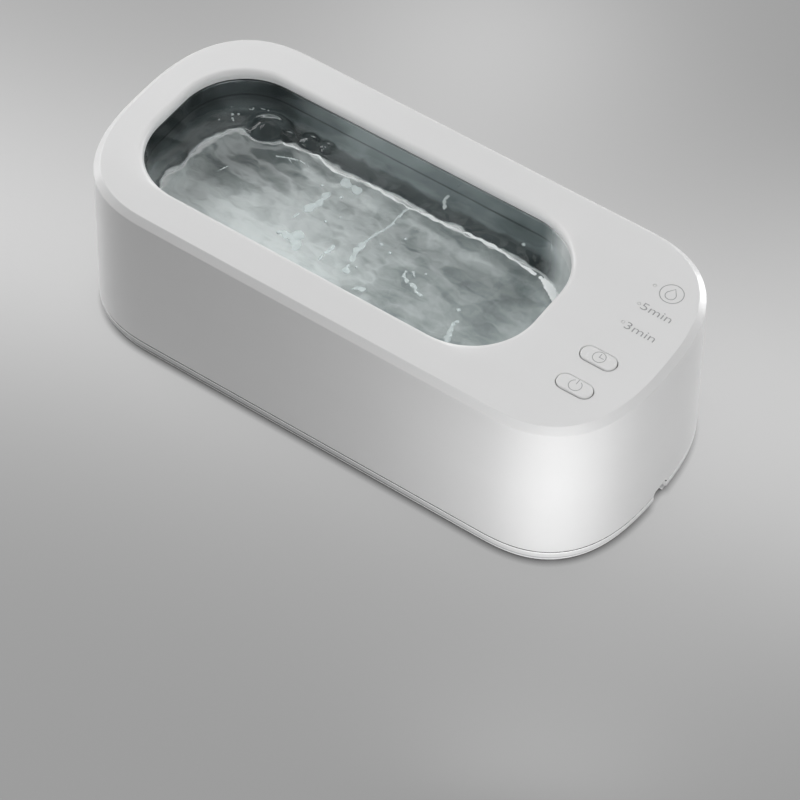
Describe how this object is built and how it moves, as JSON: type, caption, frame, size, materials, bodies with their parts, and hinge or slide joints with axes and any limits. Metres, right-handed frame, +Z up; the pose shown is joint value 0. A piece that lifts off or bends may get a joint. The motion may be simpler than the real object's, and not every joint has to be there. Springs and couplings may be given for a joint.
{
  "type": "ultrasonic contact lens and small parts cleaner",
  "caption": "Long rounded table-top cleaner with an open steel bath, pill keys and pin-hole lights on its top, and a low supply inlet in one end.",
  "frame": {"origin": "middle of the case's footprint, on the surface it stands on", "axes": "+X along the case towards the end with the keys and supply inlet, +Z up, the long sides face +Y and -Y; seen with the key end on the right, -Y is the near side"},
  "size_m": [0.2076, 0.095, 0.0655],
  "materials": {
    "case_white": "satin",
    "base_white": "satin",
    "key_white": "satin",
    "basin_steel": "satin",
    "silicone": "matte",
    "foot_rubber": "matte",
    "frame_plastic": "matte",
    "screw_steel": "satin",
    "plate_aluminium": "satin",
    "piezo_ceramic": "matte",
    "board_green": "satin",
    "ferrite": "matte",
    "winding_tape": "satin",
    "black_plastic": "matte",
    "sink_aluminium": "satin",
    "capacitor_sleeve": "satin",
    "film_case": "satin",
    "connector_nylon": "satin",
    "clear_acrylic": "gloss",
    "led_white": "gloss",
    "lead_red": "satin",
    "ribbon_grey": "satin",
    "pin_brass": "polished",
    "switch_black": "satin"
  },
  "bodies": {
    "case": {"upper_housing": "case_white", "base_cover": "base_white", "rubber_feet": "foot_rubber", "case_screws": "screw_steel", "wash_tank": "basin_steel", "tank_gasket": "silicone", "tank_frame": "frame_plastic", "tank_frame_screws": "screw_steel", "transducer_plate": "plate_aluminium", "transducer_disc": "piezo_ceramic", "transducer_leads": "lead_red", "power_switch": "switch_black", "timer_switch": "switch_black", "light_pipes": "clear_acrylic", "light_shield": "black_plastic", "indicator_leds": "led_white", "key_board": "board_green", "key_board_screws": "screw_steel", "control_chip": "black_plastic", "panel_ribbon": "ribbon_grey", "main_board": "board_green", "main_board_screws": "screw_steel", "drive_transformer": "ferrite", "transformer_winding": "winding_tape", "tuning_inductor": "ferrite", "heat_sink": "sink_aluminium", "drive_transistors": "black_plastic", "filter_capacitors": "capacitor_sleeve", "film_capacitor": "film_case", "board_connectors": "connector_nylon", "dc_socket": "black_plastic", "dc_socket_pin": "pin_brass", "power_leads": "lead_red"},
    "power_key": {"power_button": "key_white", "power_plunger": "connector_nylon"},
    "timer_key": {"timer_button": "key_white", "timer_plunger": "connector_nylon"}
  },
  "joints": [
    {"name": "power_key_press", "type": "slide", "parent": "case", "child": "power_key", "axis": [0, 0, -1], "range_m": [0, 0.0005], "stiffness_N_per_m": 800, "springref_m": -0.0006},
    {"name": "timer_key_press", "type": "slide", "parent": "case", "child": "timer_key", "axis": [0, 0, -1], "range_m": [0, 0.0005], "stiffness_N_per_m": 800, "springref_m": -0.0006}
  ]
}
